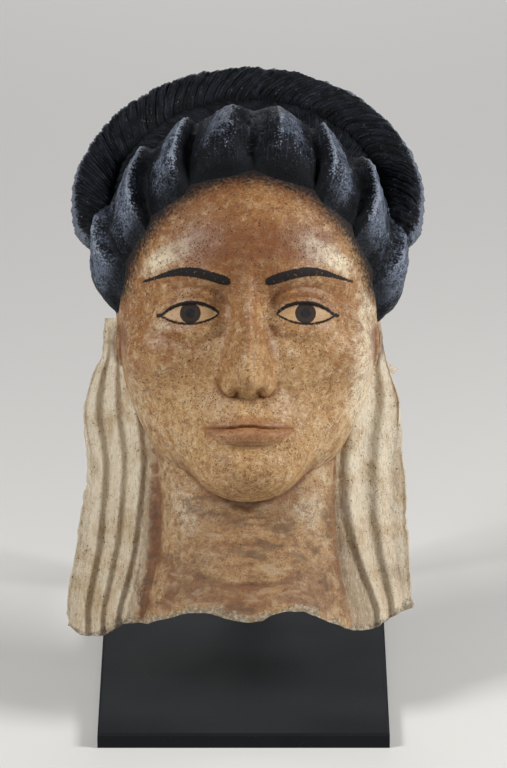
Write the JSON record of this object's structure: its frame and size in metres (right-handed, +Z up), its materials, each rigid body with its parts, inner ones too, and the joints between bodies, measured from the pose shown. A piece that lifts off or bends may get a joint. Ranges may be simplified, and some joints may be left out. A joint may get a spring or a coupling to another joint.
{
  "type": "egyptian mummy mask",
  "caption": "Hollow painted plaster mask of a woman with waved hair, a braided coil and a pleated veil, held leaning back above a flat grey foot plate by a bent steel bracket.",
  "frame": {"origin": "centre of the foot plate's underside", "axes": "+Z up, -Y the way the mask faces, +X to the viewer's right"},
  "size_m": [0.1906, 0.2346, 0.3094],
  "materials": {
    "plaster": "matt painted plaster, worn and pitted",
    "plate_paint": "matt dark grey",
    "bracket_paint": "matt dark grey"
  },
  "bodies": {
    "root": {"mask": "plaster", "stand_plate": "plate_paint", "stand_bracket": "bracket_paint"}
  },
  "joints": []
}
